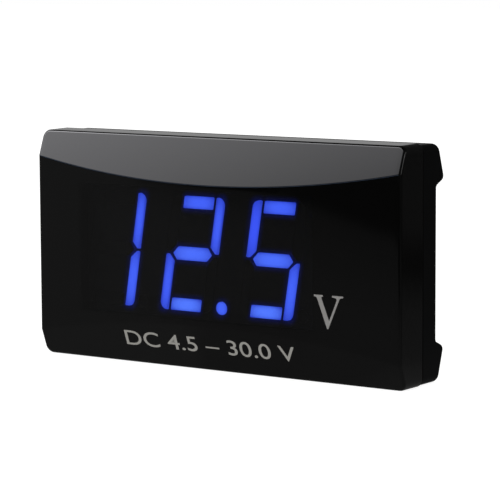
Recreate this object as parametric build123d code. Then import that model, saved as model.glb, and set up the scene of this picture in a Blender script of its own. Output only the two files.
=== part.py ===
from build123d import *
from collections import Counter
import math
import os

# Slim digital voltmeter, in millimetres: +X is the viewer's right, the face looks towards -Y, +Z is up.
# A depth is counted forward of the parting plane between the front cap and the rear cover.

# Front cap
case_width = 61.0
case_height = 32.5
wall_draft = 0.05
corner_radius = 1.1
cap_edge_depth = 4.1
facet_height = 3.6
facet_tilt = 20.7
face_bulge = 1.1
cap_wall = 1.5
cap_inner_corner = 0.6
crease_radius = 0.5
front_edge_radius = 0.45

# Rear cover
cover_inset = 0.3
groove_width = 0.4
groove_depth = 0.5
cover_wall = 1.5
cover_inner_corner = 0.6
rail_rise = 2.1
rail_tip_height = 4.8
rail_shoulder = 0.9
rail_back_tilt = 18.2
rail_tip_radius = 0.8
rail_root_radius = 0.5
rear_edge_radius = 0.5
lip_reach = 1.5
lip_thickness = 1.0
lip_clearance = 0.1
wire_hole_diameter = 3.6
wire_hole_from_post = 7.9
wire_hole_height = 10.0

# Seven-segment display
digit_count = 3
digit_height = 16.1
digit_width = 8.85
digit_spacing = 4.62
digit_slant = 9.1
upright_stroke = 1.5
upright_tip = 0.58
level_stroke = 1.7
middle_stroke = 1.85
middle_tip = 0.75
middle_reach = 0.35
segment_gap = 0.4
segment_corner = 0.15
outer_corner = 1.05
point_diameter = 1.8
point_gap = 0.725
point_lift = 0.82
display_side_gap = 0.35
display_drop = 0.15
display_face_gap = 0.05
display_border_x = 2.35
display_border_z = 2.45
reflector_depth = 3.2
reflector_edge = 0.2
cavity_clearance = 0.05
peg_diameter = 1.2
peg_inset = 1.1
peg_stand = 0.3
peg_clearance = 0.1

# Light-emitting chips
led_length = 1.1
led_width = 0.7
led_height = 0.6
led_gap = 0.25

# Circuit board, its posts and its screws
board_thickness = 1.0
board_clearance = 0.5
post_diameter = 3.0
screw_diameter = 1.4
screw_head_diameter = 2.6
screw_head_height = 0.7
screw_slot_width = 0.35
screw_slot_depth = 0.35
screw_bite = 2.4
screw_fit = 0.05
screw_hole_clearance = 0.15
screw_hole_spare = 0.3

# Parts on the back of the board
layout_margin = 9.0
part_spacing = 1.0
part_clearance = 1.45
controller_end = 0.75
controller_width = 3.9
controller_height = 1.35
controller_lift = 0.1
lead_count = 8
lead_pitch = 1.2
lead_width = 0.4
lead_reach = 1.0
lead_shoulder = 0.3
lead_thickness = 0.2
regulator_length = 4.5
regulator_width = 2.5
regulator_height = 1.4
regulator_lead_pitch = 1.5
diode_length = 1.6
diode_width = 2.7
diode_height = 1.1
capacitor_length = 3.2
capacitor_width = 1.6
capacitor_height = 1.2
resistor_length = 2.0
resistor_width = 1.25
resistor_height = 0.5
segment_resistor_count = 8
pad_diameter = 2.6
pad_hole_diameter = 1.2
pad_thickness = 0.1
pad_pitch = 4.0

# Sizes of the case that follow from the ones above
facet_slope = math.tan(math.radians(facet_tilt))
facet_wall = cap_wall / math.cos(math.radians(facet_tilt))
face_end_depth = cap_edge_depth + facet_height * facet_slope
face_depth = face_end_depth + face_bulge
face_radius = (case_width ** 2 / 4 + face_bulge ** 2) / (2 * face_bulge)
face_height = case_height - wall_draft
mid_height = face_height / 2
cover_height = case_height - cover_inset
lip_inset = cap_wall + wall_draft * lip_reach / cap_edge_depth + lip_clearance
cover_inner_inset = lip_inset + lip_thickness

# Sizes of the board and the display
board_width = case_width - 2 * (cover_inner_inset + board_clearance)
board_height = face_height - 2 * (cover_inner_inset + board_clearance)
post_x = (board_width - post_diameter) / 2
post_z = (board_height - post_diameter) / 2
digit_pitch = digit_width + digit_spacing
display_width = digit_pitch * (digit_count - 1) + digit_width + 2 * display_border_x
display_height = digit_height + 2 * display_border_z
display_left = screw_head_diameter / 2 + display_side_gap - post_x
display_x = display_left + display_width / 2
display_z = mid_height - display_drop
slant = math.tan(math.radians(digit_slant))
wire_hole_x = post_x - wire_hole_from_post
controller_length = lead_pitch * (lead_count - 1) + 2 * controller_end


# Depth of the cap's inside above a place, under its arc or under a facet
def inside_depth(x, z):
    arc = face_depth - face_radius + math.sqrt((face_radius - cap_wall) ** 2 - x ** 2)
    facet = cap_edge_depth - facet_wall + min(z, face_height - z) * facet_slope
    return min(arc, facet)


def display_corners():
    across = (display_left, display_left + display_width)
    upward = (display_z - display_height / 2, display_z + display_height / 2)
    return [(x, z) for x in across for z in upward]


# Depths, from the display's face back to the tips of the rails
display_depth = min(inside_depth(x, z) for x, z in display_corners()) - display_face_gap
board_front = display_depth - reflector_depth
board_back = board_front - board_thickness
plug_back = board_front + led_height + led_gap
floor_inside = board_back - controller_lift - controller_height - part_clearance
cover_floor_depth = floor_inside - cover_wall
rail_tip_depth = cover_floor_depth - rail_rise


# Side view of the rear cover, from a front depth back to the two rails
def cover_profile(front):
    heel_depth = rail_tip_depth + rail_tip_height * math.tan(math.radians(rail_back_tilt))
    root_height = rail_tip_height + rail_shoulder
    return Polygon(
        (front, 0),
        (heel_depth, 0),
        (rail_tip_depth, rail_tip_height),
        (cover_floor_depth, root_height),
        (cover_floor_depth, cover_height - root_height),
        (rail_tip_depth, cover_height - rail_tip_height),
        (heel_depth, cover_height),
        (front, cover_height),
        align=None,
    )


def corners_at(profile, depth):
    return [corner for corner in profile.vertices() if abs(corner.X - depth) < 0.001]


# Side view with its rail tips and roots rounded
def rounded_cover_profile():
    profile = cover_profile(-groove_width)
    profile = fillet(corners_at(profile, rail_tip_depth), rail_tip_radius)
    return fillet(corners_at(profile, cover_floor_depth), rail_root_radius)


# The parting plane lies where the finished case is centred front to back
parting_y = (face_depth + rounded_cover_profile().bounding_box().min.X) / 2


# Plane that looks forward at a depth: its own X is +X and its own Y is +Z
def facing(depth):
    return Plane(origin=(0, parting_y - depth, 0), x_dir=(1, 0, 0), z_dir=(0, -1, 0))


# Plane seen from the side: its own X is the depth and its own Y is +Z
def side_plane():
    return Plane(origin=(0, parting_y, 0), x_dir=(0, -1, 0), z_dir=(-1, 0, 0))


# Plane seen from above: its own X is +X and its own Y is the depth
def plan_plane():
    return Plane(origin=(0, parting_y, 0), x_dir=(1, 0, 0), z_dir=(0, 0, -1))


def raised(outline, back, front):
    return extrude(facing(back) * outline, amount=front - back, dir=(0, -1, 0))


def block(x, z, width, height, back, front):
    return raised(Pos(x, z) * Rectangle(width, height), back, front)


def disc(x, z, diameter, back, front):
    return raised(Pos(x, z) * Circle(diameter / 2), back, front)


# Rounded block of the case's own outline, set in by an inset at its sides, between two heights
def case_block(inset, foot, top, corner, back, front):
    outline = RectangleRounded(case_width - 2 * inset, top - foot, corner)
    return raised(Pos(0, (foot + top) / 2) * outline, back, front)


# Edges that a group of faces shares with the rest of a solid, and edges shared within the group
def border_and_inner_edges(faces):
    seen = Counter(edge for face in faces for edge in face.edges())
    border = [edge for edge, count in seen.items() if count == 1]
    inner = [edge for edge, count in seen.items() if count > 1]
    return border, inner


def faces_towards(solid, direction, least):
    return [face for face in solid.faces() if face.normal_at().dot(Vector(direction)) > least]


# Walls of the cap: a prism, flat underneath, that narrows forward at its sides and top
def cap_walls(inset, corner):
    narrowing = wall_draft * face_depth / cap_edge_depth
    half = case_width / 2 - inset
    top = case_height - inset
    side = Polygon((0, inset), (face_depth, inset), (face_depth, top - narrowing), (0, top), align=None)
    front_half = half - narrowing
    plan = Polygon((-half, 0), (half, 0), (front_half, face_depth), (-front_half, face_depth), align=None)
    walls = extrude(side_plane() * side, amount=case_width / 2, both=True)
    walls = walls & extrude(plan_plane() * plan, amount=case_height, dir=(0, 0, 1))
    long_edges = [edge for edge in walls.edges() if edge.bounding_box().size.Y > face_depth / 2]
    return fillet(long_edges, corner)


# Form of the cap: its walls, cut by the face's arc and by the two facets that tilt back from it
def cap_form(inset, corner):
    edge_depth = cap_edge_depth - facet_wall * inset / cap_wall
    ridge_depth = edge_depth + mid_height * facet_slope
    profile = Polygon(
        (0, 0),
        (edge_depth, 0),
        (ridge_depth, mid_height),
        (edge_depth, face_height),
        (0, case_height),
        align=None,
    )
    facets = extrude(side_plane() * profile, amount=case_width / 2, both=True)
    face_centre = Pos(0, parting_y - face_depth + face_radius, case_height / 2)
    face_arc = face_centre * Cylinder(face_radius - inset, case_height)
    return cap_walls(inset, corner) & facets & face_arc


def make_front_cap():
    cap = cap_form(0, corner_radius)
    creases = border_and_inner_edges(faces_towards(cap, (0, -1, 0), 0.8))[1]
    cap = fillet(creases, crease_radius)
    rim = border_and_inner_edges(faces_towards(cap, (0, -1, 0), 0.8))[0]
    cap = fillet(rim, front_edge_radius)
    return cap - cap_form(cap_wall, cap_inner_corner)


# Outside of the rear cover: the side view at full width, with rounded corners and rear edges
def cover_form():
    form = extrude(side_plane() * rounded_cover_profile(), amount=case_width / 2, both=True)
    form = form & case_block(cover_inset, 0, cover_height, corner_radius, rail_tip_depth, -groove_width)
    rim = border_and_inner_edges(faces_towards(form, (0, 1, 0), 0.5))[0]
    return fillet(rim, rear_edge_radius)


# Posts that the board is screwed to, each standing on the cover's inside wherever that lies
def board_posts(outside):
    posts = [disc(x, z, post_diameter, rail_tip_depth, board_back) for x, z in screw_places()]
    wall_front = block(0, mid_height, case_width, case_height, floor_inside, board_back)
    return [post & (outside + wall_front) for post in posts]


def screw_places():
    return [(side * post_x, mid_height + level * post_z) for side in (-1, 1) for level in (-1, 1)]


def make_rear_cover():
    outside = cover_form()
    inside = offset(cover_profile(cover_wall), amount=-cover_wall, kind=Kind.INTERSECTION)
    inside = extrude(side_plane() * inside, amount=case_width / 2, both=True)
    opening = case_block(
        cover_inner_inset,
        cover_inner_inset,
        case_height - cover_inner_inset,
        cover_inner_corner,
        rail_tip_depth,
        lip_reach,
    )
    shell = outside - (inside & opening)
    neck_top = case_height - groove_depth
    neck = case_block(groove_depth, groove_depth, neck_top, corner_radius, -groove_width, 0)
    lip = case_block(lip_inset, lip_inset, case_height - lip_inset, cap_inner_corner, 0, lip_reach)
    shell = shell + (neck + lip - opening)
    for post in board_posts(outside):
        shell = shell + post
    hole_end = board_back - screw_bite - screw_hole_spare
    for x, z in screw_places():
        shell = shell - disc(x, z, screw_diameter + 2 * screw_fit, hole_end, board_back)
    return shell - disc(wire_hole_x, wire_hole_height, wire_hole_diameter, rail_tip_depth, floor_inside)


# Outline of one segment about its digit's centre. Uprights and levels are mirrored from one of each.
def segment_points(letter):
    half = digit_height / 2
    inner = digit_width / 2 - upright_stroke
    outer = digit_width / 2
    break_off = segment_gap / 2
    bevel = upright_stroke - upright_tip
    reach = inner + middle_reach
    if letter == "g":
        ends = [(reach - middle_tip, middle_stroke / 2), (reach, 0), (reach - middle_tip, -middle_stroke / 2)]
        return ends + [(-x, -z) for x, z in ends]
    if letter in "ad":
        end = inner - segment_gap
        points = [(-end, half - level_stroke), (end, half - level_stroke), (end, half), (-end, half)]
        return points if letter == "a" else [(x, -z) for x, z in points]
    points = [
        (outer, half),
        (inner, half),
        (inner, break_off + bevel),
        (inner + bevel, break_off),
        (outer, break_off),
    ]
    across = 1 if letter in "bc" else -1
    upward = 1 if letter in "bf" else -1
    return [(x * across, z * upward) for x, z in points]


def digit_centre(digit):
    return display_x + (digit - (digit_count + 1) / 2) * digit_pitch


# Face of one segment, leaning with the digit, its free corner rounded and its other corners eased
def segment_outline(letter, digit):
    centre_x = digit_centre(digit)
    points = [(centre_x + x + z * slant, display_z + z) for x, z in segment_points(letter)]
    outline = Polygon(*points, align=None)
    if letter in "adg":
        return fillet(outline.vertices(), segment_corner)
    free_corner = (*points[0], 0)
    outline = fillet(outline.vertices().sort_by_distance(free_corner)[1:], segment_corner)
    free_radius = min(outer_corner, upright_stroke - 2 * segment_corner)
    return fillet(outline.vertices().sort_by_distance(free_corner)[0], free_radius)


def point_outline(digit):
    centre_x = digit_centre(digit) + (digit_width + point_diameter) / 2 + point_gap
    rise = point_lift - digit_height / 2
    return Pos(centre_x + rise * slant, display_z + rise) * Circle(point_diameter / 2)


# Every lit shape by node name
def light_outlines():
    outlines = {}
    for digit in range(1, digit_count + 1):
        for letter in "abcdefg":
            outlines[f"digit_{digit}_segment_{letter}"] = segment_outline(letter, digit)
        outlines[f"digit_{digit}_point"] = point_outline(digit)
    return outlines


def peg_places():
    across = display_width / 2 - peg_inset
    upward = display_height / 2 - peg_inset
    return [(display_x + side * across, display_z + level * upward) for side in (-1, 1) for level in (-1, 1)]


def make_reflector(outlines):
    reflector = block(display_x, display_z, display_width, display_height, board_front, display_depth)
    front = faces_towards(reflector, (0, -1, 0), 0.9)
    reflector = chamfer(front[0].edges(), reflector_edge)
    for outline in outlines:
        cavity = offset(outline, amount=cavity_clearance)
        reflector = reflector - raised(cavity, board_front, display_depth)
    for x, z in peg_places():
        reflector = reflector + disc(x, z, peg_diameter, board_back - peg_stand, board_front)
    return reflector


# One chip at the middle of each plug, lying along it
def make_led_chips(outlines):
    chips = []
    for outline in outlines:
        size = outline.bounding_box().size
        upright = size.Y > size.X
        width = led_width if upright else led_length
        height = led_length if upright else led_width
        centre = outline.bounding_box().center()
        chips.append(block(centre.X, centre.Y, width, height, board_front, board_front + led_height))
    return Compound(children=chips)


def pad_places():
    return [(wire_hole_x, mid_height + side * pad_pitch / 2) for side in (-1, 1)]


def make_circuit_board():
    board = block(0, mid_height, board_width, board_height, board_back, board_front)
    for x, z in screw_places():
        board = board - disc(x, z, screw_diameter + 2 * screw_hole_clearance, board_back, board_front)
    for x, z in peg_places():
        board = board - disc(x, z, peg_diameter + 2 * peg_clearance, board_back, board_front)
    for x, z in pad_places():
        board = board - disc(x, z, pad_hole_diameter, board_back, board_front)
    return board


def make_board_screw(x, z):
    head_top = board_front + screw_head_height
    head = disc(x, z, screw_head_diameter, board_front, head_top)
    head = fillet(faces_towards(head, (0, -1, 0), 0.9)[0].edges(), screw_head_height / 2)
    shank = disc(x, z, screw_diameter, board_back - screw_bite, board_front)
    shank = chamfer(faces_towards(shank, (0, 1, 0), 0.9)[0].edges(), screw_diameter / 4)
    slot_floor = head_top - screw_slot_depth
    slot_length = screw_head_diameter / 2
    across = block(x, z, slot_length, screw_slot_width, slot_floor, head_top)
    upright = block(x, z, screw_slot_width, slot_length, slot_floor, head_top)
    return head + shank - across - upright


# Something that stands on the back of the board, with an optional lift off it
def back_block(x, z, width, height, thickness, lift=0.0):
    top = board_back - lift
    return block(x, z, width, height, top - thickness, top)


# Bent lead beside a body: foot on the board, riser, and shoulder into the body
def bent_lead(x, body_edge, side, shoulder_lift):
    rise_z = body_edge + side * (lead_shoulder - lead_thickness / 2)
    foot_length = lead_reach - lead_shoulder + lead_thickness
    foot_z = body_edge + side * (lead_reach - foot_length / 2)
    shoulder_z = body_edge + side * lead_shoulder / 2
    foot = back_block(x, foot_z, lead_width, foot_length, lead_thickness)
    riser = back_block(x, rise_z, lead_width, lead_thickness, shoulder_lift + lead_thickness)
    shoulder = back_block(x, shoulder_z, lead_width, lead_shoulder, lead_thickness, shoulder_lift)
    return foot + riser + shoulder


def make_controller(x):
    body = back_block(x, mid_height, controller_length, controller_width, controller_height, controller_lift)
    shoulder_lift = controller_lift + (controller_height - lead_thickness) / 2
    for side in (-1, 1):
        edge = mid_height + side * controller_width / 2
        for index in range(lead_count):
            lead_x = x + (index - (lead_count - 1) / 2) * lead_pitch
            body = body + bent_lead(lead_x, edge, side, shoulder_lift)
    return body


# Body with flat leads at its lower end, and at its upper end if it has them there
def flat_leaded(x, width, height, thickness, lower_leads, upper_leads):
    body = back_block(x, mid_height, width, height, thickness)
    for side, leads in ((-1, lower_leads), (1, upper_leads)):
        lead_z = mid_height + side * (height + lead_reach) / 2
        for lead_x in leads:
            body = body + back_block(lead_x, lead_z, lead_width, lead_reach, lead_thickness)
    return body


def chip_row(count, first_x, z, width, height, thickness):
    pitch = width + part_spacing
    return Compound(children=[
        back_block(first_x + index * pitch, z, width, height, thickness) for index in range(count)])


def make_wire_pads():
    pads = []
    for x, z in pad_places():
        rim = disc(x, z, pad_diameter, board_back - pad_thickness, board_back)
        pads.append(rim - disc(x, z, pad_hole_diameter, board_back - pad_thickness, board_back))
    return Compound(children=pads)


# Parts on the back of the board, from left to right, with the resistors in rows above and below
def board_parts():
    left = layout_margin - board_width / 2
    controller_x = left + controller_length / 2
    regulator_x = controller_x + controller_length / 2 + part_spacing + regulator_length / 2
    capacitor_x = regulator_x + regulator_length / 2 + part_spacing + capacitor_width / 2
    capacitor_pitch = capacitor_width + part_spacing
    diode_x = capacitor_x + capacitor_pitch + capacitor_width / 2 + part_spacing + diode_length / 2
    row_offset = controller_width / 2 + lead_reach + part_spacing + resistor_length / 2
    resistor_x = left + resistor_width / 2
    regulator_leads = [regulator_x + step * regulator_lead_pitch for step in (-1, 0, 1)]
    return {
        "controller_chip": make_controller(controller_x),
        "voltage_regulator": flat_leaded(
            regulator_x, regulator_length, regulator_width, regulator_height, regulator_leads, [regulator_x]),
        "filter_capacitors": chip_row(
            2, capacitor_x, mid_height, capacitor_width, capacitor_length, capacitor_height),
        "protection_diode": flat_leaded(
            diode_x, diode_length, diode_width, diode_height, [diode_x], [diode_x]),
        "segment_resistors": chip_row(
            segment_resistor_count, resistor_x, mid_height + row_offset,
            resistor_width, resistor_length, resistor_height),
        "divider_resistors": chip_row(
            2, resistor_x, mid_height - row_offset, resistor_width, resistor_length, resistor_height),
    }


def make_parts():
    outlines = light_outlines()
    parts = {
        "front_cap": make_front_cap(),
        "rear_cover": make_rear_cover(),
        "display_reflector": make_reflector(outlines.values()),
        "led_chips": make_led_chips(outlines.values()),
        "circuit_board": make_circuit_board(),
        "board_screws": Compound(children=[make_board_screw(x, z) for x, z in screw_places()]),
        "wire_pads": make_wire_pads(),
    }
    for name, outline in outlines.items():
        parts[name] = raised(outline, plug_back, display_depth)
    parts.update(board_parts())
    return parts


os.makedirs("parts", exist_ok=True)
for name, shape in make_parts().items():
    export_step(shape, f"parts/{name}.step")
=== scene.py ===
import math

import bmesh
import bpy
from mathutils import Matrix, Vector


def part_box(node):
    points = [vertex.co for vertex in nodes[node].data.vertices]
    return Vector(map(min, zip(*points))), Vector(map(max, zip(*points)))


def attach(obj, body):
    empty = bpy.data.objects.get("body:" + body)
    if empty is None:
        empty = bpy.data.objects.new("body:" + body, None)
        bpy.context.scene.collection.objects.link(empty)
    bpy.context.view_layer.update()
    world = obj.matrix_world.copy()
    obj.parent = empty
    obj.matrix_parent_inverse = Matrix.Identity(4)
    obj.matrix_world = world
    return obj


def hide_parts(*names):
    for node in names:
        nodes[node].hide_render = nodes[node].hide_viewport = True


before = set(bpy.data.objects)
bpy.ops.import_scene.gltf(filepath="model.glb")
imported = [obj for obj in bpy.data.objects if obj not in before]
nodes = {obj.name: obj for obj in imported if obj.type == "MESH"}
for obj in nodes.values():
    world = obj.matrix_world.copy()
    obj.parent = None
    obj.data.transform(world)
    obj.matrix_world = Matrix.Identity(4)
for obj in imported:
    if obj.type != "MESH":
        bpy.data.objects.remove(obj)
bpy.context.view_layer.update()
mm = 0.001
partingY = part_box("front_cap")[1].y
print("frame loaded:", len(nodes), "nodes")


def addObject(name, data):
    made = bpy.data.objects.new(name, data)
    bpy.context.scene.collection.objects.link(made)
    return made


# The finished mesh of a draft, which is then removed
def finishedMesh(draft, name):
    mesh = bpy.data.meshes.new_from_object(draft.evaluated_get(bpy.context.evaluated_depsgraph_get()))
    bpy.data.objects.remove(draft)
    mesh.name = name
    return mesh


# Camera, where the photograph was taken from. Its places count from the parting plane of the case
cameraView = {
    "eye": (196.035, -278.966, 57.131),
    "target": (2.743, 0.0, 16.646),
    "roll": -0.258,
    "lens": 177.66,
    "sensor": 36,
    "nearClip": 10,
}


def makeCamera(view):
    parting = Vector((0, partingY, 0))
    eye = Vector(view["eye"]) * mm + parting
    forward = (Vector(view["target"]) * mm + parting - eye).normalized()
    right = forward.cross(Vector((0, 0, 1))).normalized()
    up = right.cross(forward)
    turn = math.radians(view["roll"])
    rolledRight = right * math.cos(turn) + up * math.sin(turn)
    rolledUp = up * math.cos(turn) - right * math.sin(turn)
    camera = addObject("camera", bpy.data.cameras.new("camera"))
    camera.data.sensor_width = view["sensor"]
    camera.data.lens = view["lens"]
    camera.data.clip_start = view["nearClip"] * mm
    axes = Matrix((rolledRight, rolledUp, -forward)).transposed().to_4x4()
    camera.matrix_world = Matrix.Translation(eye) @ axes
    bpy.context.scene.camera = camera


makeCamera(cameraView)
bpy.context.scene.view_settings.view_transform = "Standard"
print("camera placed")


# A socket that adds Math nodes when it is calculated with
class Amount:
    def __init__(self, graph, socket):
        self.graph = graph
        self.socket = socket

    def calc(self, operation, *others):
        return self.graph.add("ShaderNodeMath", {"operation": operation}, dict(enumerate((self, *others))))

    def __add__(self, other):
        return self.calc("ADD", other)

    def __radd__(self, other):
        return self.calc("ADD", other)

    def __sub__(self, other):
        return self.calc("SUBTRACT", other)

    def __rsub__(self, other):
        return self.graph.add("ShaderNodeMath", {"operation": "SUBTRACT"}, {0: other, 1: self})

    def __mul__(self, other):
        return self.calc("MULTIPLY", other)

    def __rmul__(self, other):
        return self.calc("MULTIPLY", other)

    def __truediv__(self, other):
        return self.calc("DIVIDE", other)

    def __pow__(self, other):
        return self.calc("POWER", other)

    def __abs__(self):
        return self.calc("ABSOLUTE")

    def clamped(self):
        return self.calc("MAXIMUM", 0.0).calc("MINIMUM", 1.0)

    # From 0 at the first value to 1 at the last
    def rising(self, first, last):
        return ((self - first) / (last - first)).clamped()


# The node tree of a material or of the world
class Graph:
    def __init__(self, owner):
        owner.use_nodes = True
        self.tree = owner.node_tree
        self.tree.nodes.clear()

    def add(self, kind, settings=None, sockets=None, output=0):
        node = self.tree.nodes.new(kind)
        for name, value in (settings or {}).items():
            if name == "stops":
                self.setStops(node.color_ramp, value)
            else:
                setattr(node, name, value)
        for name, value in (sockets or {}).items():
            if isinstance(value, Amount):
                self.tree.links.new(value.socket, node.inputs[name])
            else:
                node.inputs[name].default_value = value
        return Amount(self, node.outputs[output]) if node.outputs else None

    def setStops(self, ramp, stops):
        while len(ramp.elements) < len(stops):
            ramp.elements.new(0.5)
        for element, (place, colour) in zip(ramp.elements, stops):
            element.position = place
            element.color = colour

    # Object coordinates in millimetres, from a centre
    def coords(self, centre=(0, 0, 0), turn=(0, 0, 0)):
        place = self.add("ShaderNodeTexCoord", output="Object")
        values = {"Vector": place, "Location": centre, "Rotation": turn, "Scale": (mm, mm, mm)}
        return self.add("ShaderNodeMapping", {"vector_type": "TEXTURE"}, values)

    def vector(self, operation, *values, output=0):
        return self.add("ShaderNodeVectorMath", {"operation": operation}, dict(enumerate(values)), output)

    def dot(self, first, second):
        return self.vector("DOT_PRODUCT", first, second, output=1)

    def split(self, vector):
        first = self.add("ShaderNodeSeparateXYZ", None, {0: vector})
        return [Amount(self, axis) for axis in first.socket.node.outputs]

    def noise(self, vector, scale, detail=3.0):
        return self.add("ShaderNodeTexNoise", None, {"Vector": vector, "Scale": scale, "Detail": detail})

    # Inputs 6 and 7 of a Mix node are its colours, and output 2 is their mix
    def mixed(self, amount, first, second):
        return self.add("ShaderNodeMix", {"data_type": "RGBA"}, {0: amount, 6: first, 7: second}, 2)

    def bump(self, height, distance, strength=1.0):
        values = {"Height": height, "Distance": distance, "Strength": strength}
        return self.add("ShaderNodeBump", None, values)

    def emission(self, colour, strength):
        return self.add("ShaderNodeEmission", None, {"Color": colour, "Strength": strength})

    # What the camera sees, what gloss mirrors, and what all other light meets
    def byRay(self, seen, mirrored, other):
        direct = self.add("ShaderNodeLightPath", output="Is Camera Ray")
        shiny = self.add("ShaderNodeLightPath", output="Is Glossy Ray")
        unseen = self.add("ShaderNodeMixShader", None, {0: shiny, 1: other, 2: mirrored})
        return self.add("ShaderNodeMixShader", None, {0: direct, 1: unseen, 2: seen})

    # Ends a material's tree in a shader, the Principled one where sockets are given
    def finish(self, surface):
        if isinstance(surface, dict):
            surface = self.add("ShaderNodeBsdfPrincipled", None, surface)
        self.add("ShaderNodeOutputMaterial", None, {"Surface": surface})


def newMaterial(name):
    material = bpy.data.materials.new(name)
    return material, Graph(material)


def dress(piece, material):
    piece.data.materials.clear()
    piece.data.materials.append(material)


def grey(level):
    return (level, level, level, 1.0)


# Stage: floor, backdrop and lamps. The camera sees white, gloss sees a dark grey studio with soft cards.
# The floor that gloss sees changes by millimetres along two ways, one past the front and one past the back
stage = {
    "ambient": 0.8,
    "shineAbove": 0.05,
    "floorSize": 4.0,
    "floorGlow": 0.86,
    "floorShade": 0.30,
    "floorBounce": 0.8,
    "leftLevel": 0.14,
    "rightLevel": 0.112,
    "rightRise": (-0.95, -0.45),  # x over the distance in front
    "farLevel": 0.018,
    "frontWay": (0.617, -0.787, 0.0),
    "frontFades": ((48, 108), (104, 114)),
    "backWay": (0.574, 0.819, 0.0),
    "backStart": (8, 12),
    "backReach": 250,
    "backLevels": ((12, 0.14), (42, 0.067), (85, 0.058), (140, 0.016), (160, 0.016), (212, 0.037)),
}
lamps = {
    "keyLamp": {"place": (-330, -480, 330), "size": 300, "power": 1.5},
    "topLamp": {"place": (60, 40, 700), "size": 500, "power": 1.4},
    "fillLamp": {"place": (450, 420, 260), "size": 400, "power": 0.9},
}
# A card's slope is the change of its level by each millimetre across and upward
plainCard = {"slope": (0.0, 0.0), "tint": (1.0, 1.0, 1.0), "dimmest": 0.1}
cards = {
    "keyCard": {"middle": (-315, -380, 345), "size": (620, 390), "level": 3.05, "slope": (0.020, 0.0225),
                "tint": (0.992, 0.987, 1.024)},
    "lowCard": {"middle": (-378, -456, 120), "size": (620, 26), "level": 3.2, "tint": (0.55, 0.8, 1.3)},
    "backCard": {"middle": (-520, 750, 140), "size": (800, 260), "level": 0.38},
    "edgeCard": {"middle": (470, -270, 225), "size": (190, 160), "level": 2.6},
    "rightCard": {"middle": (520, 20, 290), "size": (420, 160), "level": 0.9},
    "upperCard": {"middle": (-444, 529, 390), "size": (268, 250), "level": 0.7},
}


def makeWorld(values):
    world = bpy.data.worlds.new("studio")
    bpy.context.scene.world = world
    graph = Graph(world)
    lights = []
    for strength in (1.0, values["shineAbove"], values["ambient"]):
        lights.append(graph.add("ShaderNodeBackground", None, {"Color": grey(1.0), "Strength": strength}))
    graph.add("ShaderNodeOutputWorld", None, {"Surface": graph.byRay(*lights)})


def makePlane(name, centre, across, upward):
    mesh = bpy.data.meshes.new(name)
    corners = [centre + across * a + upward * b for a, b in ((-1, -1), (1, -1), (1, 1), (-1, 1))]
    mesh.from_pydata(corners, [], [(0, 1, 2, 3)])
    plane = addObject(name, mesh)
    return plane


# The floor's level as gloss sees it
def mirroredFloor(graph, values):
    place = graph.coords()
    x, y, _ = graph.split(place)
    ahead = graph.dot(place, values["frontWay"])
    behind = graph.dot(place, values["backWay"])
    faded = sum(ahead.rising(*fade) for fade in values["frontFades"]) / len(values["frontFades"])
    inFront = 0 - y.calc("MINIMUM", -1.0)  # at least a millimetre, as it divides
    rightward = (x / inFront).rising(*values["rightRise"])
    near = graph.mixed(rightward, grey(values["leftLevel"]), grey(values["rightLevel"]))
    front = graph.mixed(faded, near, grey(values["farLevel"]))
    reach = values["backReach"]
    stops = [(distance / reach, grey(level)) for distance, level in values["backLevels"]]
    rear = graph.add("ShaderNodeValToRGB", {"stops": stops}, {0: behind / reach})
    return graph.mixed(behind.rising(*values["backStart"]), front, rear)


def makeFloor(values):
    half = values["floorSize"] / 2
    floor = makePlane("floor", Vector((0, 0, 0)), Vector((half, 0, 0)), Vector((0, half, 0)))
    material, graph = newMaterial("paleFloor")
    shade = graph.add("ShaderNodeBsdfDiffuse", None, {"Color": grey(values["floorShade"])})
    glow = graph.emission(grey(1.0), values["floorGlow"])
    seen = graph.add("ShaderNodeAddShader", None, {0: shade, 1: glow})
    mirrored = graph.emission(mirroredFloor(graph, values), 1.0)
    bounced = graph.emission(grey(1.0), values["floorBounce"])
    graph.finish(graph.byRay(seen, mirrored, bounced))
    dress(floor, material)


# A soft card that only gloss sees
def makeCard(name, values):
    centre = Vector(values["middle"]) * mm
    facing = -centre.normalized()
    across = Vector((0, 0, 1)).cross(facing).normalized()
    upward = facing.cross(across)
    width, height = values["size"]
    card = makePlane(name, centre, across * width * mm / 2, upward * height * mm / 2)
    material, graph = newMaterial(name)
    place = graph.coords(centre)
    sideways, rise = values["slope"]
    light = graph.dot(place, tuple(across)) * sideways + graph.dot(place, tuple(upward)) * rise
    light = (light + values["level"]).calc("MAXIMUM", values["dimmest"])
    graph.finish(graph.emission(graph.vector("MULTIPLY", values["tint"], light), 1.0))
    dress(card, material)
    card.visible_camera = False
    card.visible_diffuse = False
    card.visible_shadow = False


def makeLamp(name, values):
    data = bpy.data.lights.new(name, "AREA")
    data.size = values["size"] * mm
    data.energy = values["power"]
    lamp = addObject(name, data)
    lamp.location = Vector(values["place"]) * mm
    lamp.rotation_euler = (-lamp.location).to_track_quat("-Z", "Y").to_euler()
    lamp.visible_glossy = False


makeWorld(stage)
makeFloor(stage)
for name, values in lamps.items():
    makeLamp(name, values)
for name, values in cards.items():
    makeCard(name, {**plainCard, **values})
print("stage set")

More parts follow.
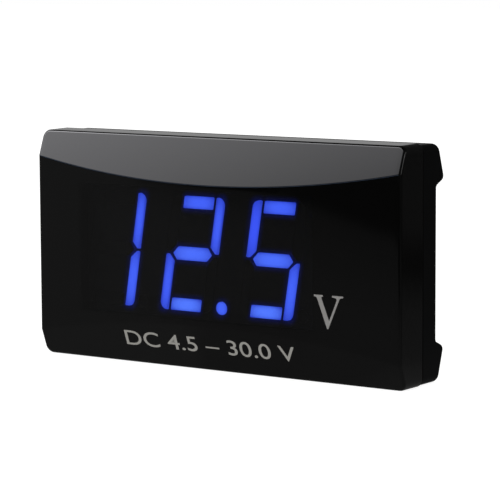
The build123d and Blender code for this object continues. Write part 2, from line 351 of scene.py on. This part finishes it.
# Front cap: a convex face runs into a tilted facet above and below it, inside four drafted walls
capValues = {
    "width": 61.0,
    "height": 32.5,
    "draft": 0.05,
    "edgeDepth": 4.1,
    "facetHeight": 3.6,
    "facetTilt": 20.7,
    "bulge": 1.1,
    "wall": 1.5,
    "corner": 1.1,
    "innerCorner": 0.6,
    "rimWidth": 0.311,
    "sideWidth": 0.42,
    "creaseWidth": 0.092,
    "bevelSteps": 6,
    "columns": 120,
    "cornerSteps": 8,
    "fitRounds": 4,
    "window": (-22.4, 16.9, 7.1, 25.3),  # left, right, foot and top
    "tint": 0.00072,
    "palerTint": 0.001125,
    "cloudScale": 0.35,
    "ripple": 0.0006,
    "roughness": 0.036,
    "grainRoughness": 0.0225,
    "grainScale": 6.0,
    "index": 1.5,
    # Opacity and shine of the outside, the window and the inside
    "looks": {"glossyBlack": (1.0, 0.5), "smokedWindow": (0.68, 0.66), "windowBack": (0.02, 0.0)},
}


# The forms that the cap is cut from, each set in by an inset. All sizes are in millimetres, and depths
# go forward from the parting plane
class CapForm:
    def __init__(self, values, inset, corner):
        self.slope = math.tan(math.radians(values["facetTilt"]))
        self.edge = values["edgeDepth"] - inset / math.cos(math.radians(values["facetTilt"]))
        self.radius = (values["width"] ** 2 / 4 + values["bulge"] ** 2) / (2 * values["bulge"])
        self.deepest = values["edgeDepth"] + values["facetHeight"] * self.slope + values["bulge"]
        self.faceHeight = values["height"] - values["draft"]
        self.values = values
        self.inset = inset
        self.corner = corner

    def arc(self, x):
        return self.deepest - self.radius + math.sqrt((self.radius - self.inset) ** 2 - x ** 2)

    def depth(self, x, z):
        return min(self.arc(x), self.edge + min(z, self.faceHeight - z) * self.slope)

    def crease(self, x):
        return (self.arc(x) - self.edge) / self.slope

    # Heights that divide the front: its creases, and between them the foot and top of the window
    def divisions(self, x):
        foot, top = self.values["window"][2:]
        return self.crease(x), foot, top, self.faceHeight - self.crease(x)

    # Half width and top of the walls at a depth
    def walls(self, depth):
        narrowing = self.inset + self.values["draft"] * depth / self.values["edgeDepth"]
        return self.values["width"] / 2 - narrowing, self.values["height"] - narrowing

    # The outline's places, anticlockwise from the lower left: a kind, a side, and an x, height or angle
    def ring(self, columns):
        levels = self.divisions(self.walls(self.edge)[0])
        turns = spread(0, 90, self.values["cornerSteps"])
        places = [("level", -1, x) for x in columns]
        places += [("lower", 1, angle - 90) for angle in turns[1:]]
        places += [("side", 1, z) for z in levels]
        places += [("upper", 1, angle) for angle in turns[:-1]]
        places += [("level", 1, x) for x in reversed(columns)]
        places += [("upper", -1, angle + 90) for angle in turns[1:]]
        places += [("side", -1, z) for z in reversed(levels)]
        return places + [("lower", -1, angle + 180) for angle in turns[:-1]]

    def outlinePoint(self, kind, side, value, depth):
        half, top = self.walls(depth)
        if kind == "level":
            return value, (top if side > 0 else self.inset)
        if kind == "side":
            return side * half, value
        angle = math.radians(value)
        x = side * (half - self.corner) + self.corner * math.cos(angle)
        centre = top - self.corner if kind == "upper" else self.inset + self.corner
        return x, centre + self.corner * math.sin(angle)

    # The walls lean, so the place where one meets the front is found in a few rounds
    def frontPoint(self, place):
        depth = self.edge
        for _ in range(self.values["fitRounds"]):
            x, z = self.outlinePoint(*place, depth)
            depth = self.depth(x, z)
        return x, z, depth

    def backPoint(self, place):
        return *self.outlinePoint(*place, 0.0), 0.0


def spread(first, last, steps):
    return [first + (last - first) * step / steps for step in range(steps + 1)]


def joinRings(build, first, second):
    for index in range(len(first)):
        after = (index + 1) % len(first)
        build.faces.new((first[index], second[index], second[after], first[after]))


# Faces between one side of the outline and the ends of the rows beside it
def fillSide(build, ends, side, steps, flip):
    levels = side[steps:-steps]
    loops = [[ends[0], *side[:steps], levels[0], ends[1]]]
    loops += [[ends[n + 1], levels[n], levels[n + 1], ends[n + 2]] for n in range(len(levels) - 1)]
    loops.append([ends[-2], levels[-1], *side[-steps:], ends[-1]])
    for loop in loops:
        build.faces.new(list(reversed(loop)) if flip else loop)


# Adds one skin of the cap to a mesh: rows of the front, the corners beside them, and the walls behind
def addSkin(build, form, values, windowSlot):
    end = values["width"] / 2 - form.inset - form.corner - values["draft"]
    columns = spread(-end, end, values["columns"])
    ring = form.ring(columns)

    def vertex(x, z, depth):
        return build.verts.new((x * mm, partingY - depth * mm, z * mm))

    front = [vertex(*form.frontPoint(place)) for place in ring]
    back = [vertex(*form.backPoint(place)) for place in ring]
    count = len(columns)
    half = len(ring) // 2
    rows = [front[:count]]
    for heights in zip(*map(form.divisions, columns)):
        rows.append([vertex(x, z, form.depth(x, z)) for x, z in zip(columns, heights)])
    rows.append(list(reversed(front[half:half + count])))
    left, right = values["window"][:2]
    windowRow = 2
    for row, (lower, upper) in enumerate(zip(rows, rows[1:])):
        for n in range(count - 1):
            face = build.faces.new((lower[n], lower[n + 1], upper[n + 1], upper[n]))
            inWindow = row == windowRow and left < (columns[n] + columns[n + 1]) / 2 < right
            face.material_index = windowSlot if inWindow else 0
    rightSide = front[count:half]
    leftSide = list(reversed(front[half + count:]))
    steps = values["cornerSteps"]
    fillSide(build, [row[-1] for row in rows], rightSide, steps, False)
    fillSide(build, [row[0] for row in rows], leftSide, steps, True)
    joinRings(build, front, back)
    lowCrease = [leftSide[steps], *rows[1], rightSide[steps]]
    highCrease = [leftSide[-steps - 1], *rows[-2], rightSide[-steps - 1]]
    return front, back, (lowCrease, highCrease)


def ringEdges(build, ring, closed=True):
    pairs = zip(ring, ring[1:] + ring[:1] if closed else ring[1:])
    return [build.edges.get(pair) for pair in pairs]


# The bevel takes each edge's width as a share of the widest one
def weighEdges(build, front, creases, values):
    weight = build.edges.layers.float.new("bevel_weight_edge")
    rim, widest = values["rimWidth"], values["sideWidth"]
    for edge in ringEdges(build, front):
        steep = abs((edge.verts[1].co - edge.verts[0].co).normalized().z)
        edge[weight] = (rim + (widest - rim) * steep) / widest
    for crease in creases:
        for edge in ringEdges(build, crease, False):
            edge[weight] = values["creaseWidth"] / widest


def makeCap(values, finishes):
    build = bmesh.new()
    outer = CapForm(values, 0.0, values["corner"])
    inner = CapForm(values, values["wall"], values["innerCorner"])
    front, back, creases = addSkin(build, outer, values, 1)
    innerFront, innerBack, innerCreases = addSkin(build, inner, values, 2)
    joinRings(build, back, innerBack)
    bmesh.ops.recalc_face_normals(build, faces=build.faces)
    for face in build.faces:
        face.smooth = True
    weighEdges(build, front, creases, values)
    sharp = [edge for ring in (back, innerFront, innerBack) for edge in ringEdges(build, ring)]
    sharp += [edge for crease in innerCreases for edge in ringEdges(build, crease, False)]
    for edge in sharp:
        edge.smooth = False
    mesh = bpy.data.meshes.new("front_cap_shell")
    build.to_mesh(mesh)
    build.free()
    draft = addObject("cap_draft", mesh)
    bevel = draft.modifiers.new("rounding", "BEVEL")
    bevel.limit_method = "WEIGHT"
    bevel.width = values["sideWidth"] * mm
    bevel.segments = values["bevelSteps"]
    bevel.use_clamp_overlap = False
    evened = draft.modifiers.new("evened", "WEIGHTED_NORMAL")
    evened.keep_sharp = True
    cap = addObject("smoked_front", finishedMesh(draft, "smoked_front"))
    for material in finishes:
        cap.data.materials.append(material)
    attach(cap, "root")
    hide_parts("front_cap")


# Polished smoked plastic, see-through in front of the display
def smokedGloss(name, values, opacity, shine):
    material, graph = newMaterial(name)
    place = graph.coords()
    cloud = graph.noise(place, values["cloudScale"])
    grain = graph.noise(place, values["grainScale"], 2.0)
    graph.finish({
        "Base Color": graph.mixed(cloud, grey(values["tint"]), grey(values["palerTint"])),
        "Roughness": values["roughness"] + values["grainRoughness"] * grain,
        "Specular IOR Level": shine,
        "IOR": values["index"],
        "Alpha": opacity,
        "Normal": graph.bump(cloud, values["ripple"] * mm),
    })
    return material


# Satin black moulding of the rear cover, with a fine spark-eroded grain, and painted shade of the parting
# groove: a darker, rougher band just behind the parting plane
coverValues = {
    "colour": (0.0008, 0.0008, 0.0009, 1.0),
    "paler": (0.0016, 0.0016, 0.0018, 1.0),
    "patchScale": 0.12,
    "patchRoughness": 0.10,
    "roughness": 0.44,
    "shine": 0.13,
    "index": 1.5,
    "grainSize": 0.16,
    "grainDepth": 0.006,
    "grainStrength": 0.5,
    "grainRoughness": 0.06,
    "grooveShadeEnd": (0.74, 0.76),  # how far behind the parting plane the painted groove shade fades out
    "grooveShadeColour": grey(0.0001),
    "grooveShadeRoughness": 0.5,
}


def blackCase(values):
    material, graph = newMaterial("blackCase")
    place = graph.coords()
    grain = graph.noise(place, 1 / values["grainSize"])
    patches = graph.noise(place, values["patchScale"])
    behind = graph.split(place)[1] - partingY / mm
    # Painted shade of the parting groove: near black and rougher in a band just behind the parting plane
    grooveShade = 1 - behind.rising(*values["grooveShadeEnd"])
    outside = graph.mixed(patches, values["colour"], values["paler"])
    roughness = values["roughness"] + values["patchRoughness"] * (patches - 0.5)
    roughness = roughness + values["grainRoughness"] * (grain - 0.5)
    graph.finish({
        "Base Color": graph.mixed(grooveShade, outside, values["grooveShadeColour"]),
        "Roughness": roughness + values["grooveShadeRoughness"] * grooveShade,
        "Specular IOR Level": values["shine"],
        "IOR": values["index"],
        "Normal": graph.bump(grain, values["grainDepth"] * mm, values["grainStrength"]),
    })
    return material


# Display: which of its plugs are lit, how their light falls off from the chip behind, and its two blacks
displayValues = {
    "lit": {1: "bc", 2: "abdeg", 3: "acdfg"},
    "litPoint": 2,
    "slant": 9.1,
    "plugColour": (0.10, 0.13, 0.30, 1.0),
    "plugRoughness": 0.5,
    "strength": 3.25,
    "glow": {"a": 1.02, "b": 0.92, "c": 1.02, "d": 1.65, "e": 0.90, "f": 0.70, "g": 1.32, "point": 1.10},
    "glowBase": (0.0, 0.0, 0.82),
    "glowGain": (0.042, 0.104, 0.09),
    "endColour": (0.012, 0.036, 0.48, 1.0),
    "endFade": 0.75,
    "endPower": 2.5,
    "sideFade": 0.6,
    "sidePower": 3.0,
    "uprightFade": 0.04,
    "streakFade": 0.40,
    "streakScale": 2.2,
    "haloColour": (0.0, 0.004, 0.11, 1.0),
    "haloStart": 0.5,
    "haloReach": 1.5,
    "haloPower": 2.0,
    "blackShine": 0.25,
    "unlit": {"levels": (0.0015, 0.0025), "roughness": 0.5, "variation": 0.2, "scale": 1.5, "detail": 3.0},
    "face": {"levels": (0.001, 0.002), "roughness": 0.55, "variation": 0.2, "scale": 5.0, "detail": 2.0},
}


def litNames(values):
    names = [f"digit_{values['litPoint']}_point"]
    for digit, letters in values["lit"].items():
        names += [f"digit_{digit}_segment_{letter}" for letter in letters]
    return names


def litResin(name, values):
    low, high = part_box(name)
    size = (high - low) / mm
    shape = name.split("_")[-1]
    upright = shape in ("b", "c", "e", "f")
    slant = math.radians(values["slant"]) if upright else 0.0
    half = max(size.x, size.z) / 2
    narrow = min(size.x, size.z) / 2 - half * math.tan(slant)
    material, graph = newMaterial("litResin_" + name)
    x, _, z = graph.split(graph.coords((low + high) / 2, (0, slant, 0)))
    along, across = (z, x) if upright else (x, z)
    streak = graph.noise(graph.coords((0, 0, 0), (0, slant, 0)), values["streakScale"])
    fade = (abs(along) / half) ** values["endPower"] * values["endFade"]
    fade = fade + (abs(across) / narrow) ** values["sidePower"] * values["sideFade"]
    fade = fade + values["streakFade"] * (streak - 0.5) + (values["uprightFade"] if upright else 0.0)
    middleColour = Vector(values["glowBase"]) + Vector(values["glowGain"]) * values["glow"][shape]
    graph.finish({
        "Base Color": values["plugColour"],
        "Roughness": values["plugRoughness"],
        "Emission Color": graph.mixed(fade.clamped(), (*middleColour, 1.0), values["endColour"]),
        "Emission Strength": values["strength"],
    })
    return material


def blackSockets(graph, look, shine):
    cloud = graph.noise(graph.coords(), look["scale"], look["detail"])
    return {
        "Base Color": graph.mixed(cloud, *map(grey, look["levels"])),
        "Roughness": look["roughness"] + look["variation"] * cloud,
        "Specular IOR Level": shine,
    }


def darkResin(values):
    material, graph = newMaterial("darkResin")
    graph.finish(blackSockets(graph, values["unlit"], values["blackShine"]))
    return material


# Distance from a plug where the digits' lean is taken out, so that each plug is upright or level
def plugGap(graph, name, straight, middle, values):
    lean = math.tan(math.radians(values["slant"]))
    low, high = (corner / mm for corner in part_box(name))
    centre = (low + high) / 2
    half = (high - low) / 2
    half.x -= half.z * lean
    centre.x -= (centre.z - middle) * lean
    start = values["haloStart"]
    inset = min(half.x, half.z) if name.endswith("point") else start
    offset = graph.vector("SUBTRACT", straight, (centre.x, 0, centre.z))
    beyond = graph.vector("SUBTRACT", graph.vector("ABSOLUTE", offset), (half.x - inset, 0, half.z - inset))
    outside = graph.vector("MAXIMUM", beyond, (0, 0, 0))
    return graph.vector("LENGTH", outside, output=1) + (start - inset)


# Black face of the display, with the faint glow that leaks round each lit plug
def reflectorBlack(values, names):
    material, graph = newMaterial("reflectorBlack")
    x, _, z = graph.split(graph.coords())
    middle = (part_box("digit_1_segment_a")[1].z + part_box("digit_1_segment_d")[0].z) / 2 / mm
    upright = x - (z - middle) * math.tan(math.radians(values["slant"]))
    straight = graph.add("ShaderNodeCombineXYZ", None, {0: upright, 2: z})
    nearest, *gaps = [plugGap(graph, name, straight, middle, values) for name in names]
    for gap in gaps:
        nearest = nearest.calc("MINIMUM", gap)
    leak = (1 - nearest / values["haloReach"]).clamped() ** values["haloPower"]
    graph.finish({
        **blackSockets(graph, values["face"], values["blackShine"]),
        "Emission Color": graph.mixed(leak, grey(0.0), values["haloColour"]),
        "Emission Strength": values["strength"],
    })
    return material


capFinishes = [smokedGloss(name, capValues, *look) for name, look in capValues["looks"].items()]
makeCap(capValues, capFinishes)
dress(nodes["front_cap"], capFinishes[0])
dress(nodes["rear_cover"], blackCase(coverValues))
lit = litNames(displayValues)
dress(nodes["display_reflector"], reflectorBlack(displayValues, lit))
unlitResin = darkResin(displayValues)
for name in nodes:
    if name in lit:
        dress(nodes[name], litResin(name, displayValues))
    elif name.startswith("digit_"):
        dress(nodes[name], unlitResin)
print("case and display dressed:", len(lit), "lit shapes")

# What the case shuts in: a finish's name, the two colours that cloud into each other, the cloud's scale, and
# the sockets that are the same all over
innerValues = {
    "led_chips": ("ledChip", (0.62, 0.60, 0.42, 1), (0.72, 0.70, 0.55, 1), 3.0, {"Roughness": 0.3}),
    "controller_chip": ("mouldedChip", grey(0.010), grey(0.016), 6.0, {"Roughness": 0.55}),
    "voltage_regulator": ("mouldedRegulator", grey(0.010), grey(0.016), 6.0, {"Roughness": 0.5}),
    "protection_diode": ("mouldedDiode", grey(0.012), grey(0.020), 6.0, {"Roughness": 0.5}),
    "filter_capacitors": ("capacitorCeramic", (0.30, 0.19, 0.10, 1), (0.38, 0.25, 0.14, 1), 4.0,
                          {"Roughness": 0.45}),
    "divider_resistors": ("resistorCeramic", grey(0.012), grey(0.02), 4.0, {"Roughness": 0.35}),
    "segment_resistors": ("resistorFilm", grey(0.012), grey(0.02), 4.0, {"Roughness": 0.35}),
    "wire_pads": ("solder", grey(0.55), grey(0.68), 3.0, {"Roughness": 0.28, "Metallic": 1.0}),
    "board_screws": ("screwSteel", grey(0.50), grey(0.62), 5.0, {"Roughness": 0.3, "Metallic": 1.0}),
}
innerGrain = {"depth": 0.01, "strength": 0.3}
boardValues = {
    "maskColours": ((0.006, 0.030, 0.014, 1), (0.009, 0.042, 0.020, 1)),
    "cloudScale": 0.8,
    "roughness": 0.32,
    "cloudRoughness": 0.1,
    "trackColour": (0.020, 0.085, 0.040, 1),
    "trackScale": 0.55,
    "trackWander": 3.0,
    "trackShare": 0.62,
    "trackSharpness": 30,
    "trackDepth": 0.02,
    "trackStrength": 0.4,
}


def plainFinish(name, first, second, scale, sockets):
    material, graph = newMaterial(name)
    cloud = graph.noise(graph.coords(), scale)
    grain = graph.bump(cloud, innerGrain["depth"] * mm, innerGrain["strength"])
    graph.finish({"Base Color": graph.mixed(cloud, first, second), **sockets, "Normal": grain})
    return material


# Green laminate, on which the tracks show through the paint
def boardLaminate(values):
    material, graph = newMaterial("boardLaminate")
    place = graph.coords()
    bands = {"Scale": values["trackScale"], "Distortion": values["trackWander"], "Detail": 0.0}
    wave = graph.add("ShaderNodeTexWave", {"bands_direction": "DIAGONAL"}, {"Vector": place, **bands}, 1)
    tracks = ((wave - values["trackShare"]) * values["trackSharpness"]).clamped()
    cloud = graph.noise(place, values["cloudScale"])
    mask = graph.mixed(cloud, *values["maskColours"])
    graph.finish({
        "Base Color": graph.mixed(tracks, mask, values["trackColour"]),
        "Roughness": values["roughness"] + values["cloudRoughness"] * cloud,
        "Normal": graph.bump(tracks, values["trackDepth"] * mm, values["trackStrength"]),
    })
    return material


innerFinishes = {name: plainFinish(*look) for name, look in innerValues.items()}
innerFinishes["circuit_board"] = boardLaminate(boardValues)
for name, material in innerFinishes.items():
    dress(nodes[name], material)
print("inner parts dressed")


# A node tree that makes geometry, with named inputs for its sizes
class ShapeGraph(Graph):
    def __init__(self, name, values):
        self.name = name
        self.values = values
        self.tree = bpy.data.node_groups.new(name, "GeometryNodeTree")
        self.tree.interface.new_socket("Geometry", in_out="OUTPUT", socket_type="NodeSocketGeometry")
        for label in values:
            self.tree.interface.new_socket(label, in_out="INPUT", socket_type="NodeSocketFloat")
        self.given = self.tree.nodes.new("NodeGroupInput").outputs

    def size(self, label):
        return Amount(self, self.given[label])

    def place(self, geometry, offset=(0, 0, 0), turn=(0, 0, 0)):
        values = {"Geometry": geometry, "Translation": offset, "Rotation": turn}
        return self.add("GeometryNodeTransform", None, values)

    def xyz(self, x, y, z):
        return self.add("ShaderNodeCombineXYZ", None, {0: x, 1: y, 2: z})

    # Scales each level of a shape about its axis
    def swell(self, geometry, share):
        x, y, z = self.split(self.add("GeometryNodeInputPosition"))
        moved = self.xyz(x * share(x, y, z), y * share(x, y, z), z)
        return self.add("GeometryNodeSetPosition", None, {"Geometry": geometry, "Position": moved})

    def cylinder(self, radius, depth, sides, rings, fills):
        counts = {"Vertices": sides, "Side Segments": rings, "Fill Segments": fills}
        return self.add("GeometryNodeMeshCylinder", None, {**counts, "Radius": radius, "Depth": depth})

    def merge(self, operation, first, *others):
        node = self.tree.nodes.new("GeometryNodeMeshBoolean")
        node.operation = operation
        node.solver = "EXACT"
        if operation == "DIFFERENCE":
            self.tree.links.new(first.socket, node.inputs[0])
        for other in others if operation == "DIFFERENCE" else (first, *others):
            self.tree.links.new(other.socket, node.inputs[1])
        return Amount(self, node.outputs[0])

    # Realizes the instances, evaluates the tree and gives a plain mesh object
    def build(self, geometry, material):
        whole = self.add("GeometryNodeRealizeInstances", None, {"Geometry": geometry})
        whole = self.add("GeometryNodeSetMaterial", None, {"Geometry": whole, "Material": material})
        self.tree.links.new(whole.socket, self.tree.nodes.new("NodeGroupOutput").inputs[0])
        draft = addObject(self.name, bpy.data.meshes.new(self.name))
        modifier = draft.modifiers.new(self.name, "NODES")
        modifier.node_group = self.tree
        for socket in self.tree.interface.items_tree:
            if socket.in_out == "INPUT":
                modifier[socket.identifier] = self.values[socket.name]
        return addObject(self.name, finishedMesh(draft, self.name))


# Four threaded screws with a domed head and a cross recess, in millimetres
screwValues = {
    "Head Radius": 1.3,
    "Head Height": 0.7,
    "Dome Radius": 0.35,
    "Recess Length": 1.3,
    "Recess Width": 0.35,
    "Recess Depth": 0.35,
    "Shank Length": 3.4,
    "Core Radius": 0.54,
    "Thread Radius": 0.70,
    "Thread Pitch": 0.5,
    "Tip Length": 0.45,
}
screwForm = {
    "ridgePower": 1.5,
    "tipShare": 0.45,
    "overlap": 0.02,  # how far the shank reaches into the head
    "headCounts": (40, 14, 3),  # sides, rings and fills, as in the next line
    "shankCounts": (24, 84, 2),
}


def makeHead(graph, form):
    radius, height, dome = graph.size("Head Radius"), graph.size("Head Height"), graph.size("Dome Radius")
    long, wide, deep = graph.size("Recess Length"), graph.size("Recess Width"), graph.size("Recess Depth")

    def domed(x, y, z):
        above = (z - (height - dome)).calc("MAXIMUM", 0.0).calc("MINIMUM", dome)
        return (radius - dome + (dome * dome - above * above).calc("SQRT")) / radius

    head = graph.cylinder(radius, height, *form["headCounts"])
    head = graph.swell(graph.place(head, graph.xyz(0.0, 0.0, height / 2)), domed)
    bars = []
    for size in (graph.xyz(long, wide, deep * 2), graph.xyz(wide, long, deep * 2)):
        bar = graph.add("GeometryNodeMeshCube", None, {"Size": size})
        bars.append(graph.place(bar, graph.xyz(0.0, 0.0, height)))
    return graph.merge("DIFFERENCE", head, *bars)


def makeShank(graph, form):
    core, thread, length = graph.size("Core Radius"), graph.size("Thread Radius"), graph.size("Shank Length")
    blunt = form["tipShare"]

    def threaded(x, y, z):
        turn = (z / graph.size("Thread Pitch") + y.calc("ARCTAN2", x) / math.tau).calc("FRACT")
        ridge = (1 - abs(turn * 2 - 1)) ** form["ridgePower"]
        tip = ((z + length) / graph.size("Tip Length")).clamped()
        return (core + (thread - core) * ridge * tip) / thread * (blunt + (1 - blunt) * tip)

    shank = graph.cylinder(thread, length, *form["shankCounts"])
    shank = graph.swell(graph.place(shank, graph.xyz(0.0, 0.0, length / -2)), threaded)
    return graph.place(shank, (0, 0, form["overlap"]))


def makeScrews(values, form, material):
    low, high = (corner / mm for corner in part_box("board_screws"))
    headWidth = 2 * values["Head Radius"]
    spacing = {"Spacing X": high.x - low.x - headWidth, "Spacing Z": high.z - low.z - headWidth}
    graph = ShapeGraph("threaded_screws", {**values, **spacing})
    screw = graph.merge("UNION", makeHead(graph, form), makeShank(graph, form))
    corners = {"Size X": graph.size("Spacing X"), "Size Y": graph.size("Spacing Z")}
    spots = graph.add("GeometryNodeMeshGrid", None, {**corners, "Vertices X": 2, "Vertices Y": 2})
    screws = graph.add("GeometryNodeInstanceOnPoints", None, {"Points": spots, "Instance": screw})
    underHead = low.y + values["Head Height"]
    screws = graph.place(screws, (0, underHead, (low.z + high.z) / 2), (math.pi / 2, 0, 0))
    piece = graph.build(screws, material)
    piece.data.transform(Matrix.Scale(mm, 4))
    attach(piece, "root")
    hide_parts("board_screws")


makeScrews(screwValues, screwForm, innerFinishes["board_screws"])
print("screws made")

# Printed marks on the cap: the unit letter on the face, the range in plain numbers on the lower facet
markValues = {
    "rangeText": "DC 4.5 – 30.0 V",
    "rangeMiddle": -0.5,
    "rangeFoot": 2.6,
    "rangeHeight": 2.35,
    "rangeWidth": 28.8,
    "rangeBolder": 0.0025,
    "rangeSteps": 6,
    "inkThickness": 0.016,
    "inkRoot": 0.004,
    "inkScale": 14.0,
    "inkRoughness": 0.42,
    "inkVariation": 0.2,
    "inkMetal": 0.1,
    # The unit letter is the same silver print as the range, given darker colours as painted shade
    "unitShadedColours": ((0.195, 0.188, 0.176, 1), (0.255, 0.245, 0.235, 1)),
    "rangeColours": ((0.26, 0.252, 0.228, 1), (0.34, 0.332, 0.308, 1)),
}
capForm = CapForm(capValues, 0.0, capValues["corner"])


def silverInk(name, colours, values):
    material, graph = newMaterial(name)
    speckle = graph.noise(graph.coords(), values["inkScale"], 2.0)
    graph.finish({
        "Base Color": graph.mixed(speckle, *colours),
        "Roughness": values["inkRoughness"] + values["inkVariation"] * speckle,
        "Metallic": values["inkMetal"],
    })
    return material


def curvedCorner(start, corner, end, steps=4):
    points = []
    for t in spread(0, 1, steps):
        shares = ((1 - t) ** 2, 2 * t * (1 - t), t * t)
        pulls = zip(start, corner, end)
        points.append([sum(share * pull for share, pull in zip(shares, row)) for row in pulls])
    return points


# Outline of the seriffed unit letter, anticlockwise from its upper left corner
def unitOutline():
    points = [(17.40, 12.25), (17.40, 12.03)]
    points += curvedCorner((17.52, 12.01), (17.78, 11.98), (17.90, 11.70))
    points += [(19.42, 7.73), (19.60, 7.73)]
    points += curvedCorner((21.22, 11.62), (21.32, 11.96), (21.62, 12.00))
    points += [(21.87, 12.03), (21.87, 12.25), (20.17, 12.25), (20.17, 12.03)]
    points += curvedCorner((20.42, 12.01), (20.98, 11.97), (20.86, 11.60))
    points += [(19.72, 8.80)]
    points += curvedCorner((18.58, 11.70), (18.46, 11.98), (18.62, 12.01))
    return points + [(18.75, 12.03), (18.75, 12.25)]


def finishMark(name, mesh, material):
    mark = addObject(name, mesh)
    dress(mark, material)
    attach(mark, "root")


def makeUnit(values, material):
    build = bmesh.new()
    front, back = [], []
    for x, z in unitOutline():
        depth = capForm.arc(x)
        for ring, lift in ((back, -values["inkRoot"]), (front, values["inkThickness"])):
            ring.append(build.verts.new((x * mm, partingY - (depth + lift) * mm, z * mm)))
    build.faces.new(front)
    build.faces.new(list(reversed(back)))
    joinRings(build, front, back)
    bmesh.ops.recalc_face_normals(build, faces=build.faces)
    bmesh.ops.triangulate(build, faces=[face for face in build.faces if len(face.verts) > 4])
    mesh = bpy.data.meshes.new("unit_mark")
    build.to_mesh(mesh)
    build.free()
    finishMark("unit_mark", mesh, material)


def makeRange(values, material):
    curve = bpy.data.curves.new("range_mark", "FONT")
    curve.body = values["rangeText"]
    curve.resolution_u = values["rangeSteps"]
    curve.offset = values["rangeBolder"]
    curve.extrude = 0.01  # any thickness does, because each side is then put at its own lift
    mesh = finishedMesh(addObject("range_text", curve), "range_mark")
    spots = [vertex.co.copy() for vertex in mesh.vertices]
    left, right = min(spot.x for spot in spots), max(spot.x for spot in spots)
    foot, top = min(spot.y for spot in spots), max(spot.y for spot in spots)
    tilt = math.atan(capForm.slope)
    for vertex in mesh.vertices:
        x = values["rangeMiddle"] + ((vertex.co.x - left) / (right - left) - 0.5) * values["rangeWidth"]
        rise = (vertex.co.y - foot) / (top - foot) * values["rangeHeight"]
        lift = values["inkThickness"] if vertex.co.z > 0 else -values["inkRoot"]
        z = values["rangeFoot"] + rise * math.cos(tilt) - lift * math.sin(tilt)
        depth = capForm.depth(0, values["rangeFoot"]) + rise * math.sin(tilt) + lift * math.cos(tilt)
        vertex.co = (x * mm, partingY - depth * mm, z * mm)
    finishMark("range_mark", mesh, material)


makeUnit(markValues, silverInk("unitShadedInk", markValues["unitShadedColours"], markValues))
makeRange(markValues, silverInk("rangeInk", markValues["rangeColours"], markValues))
print("marks printed")
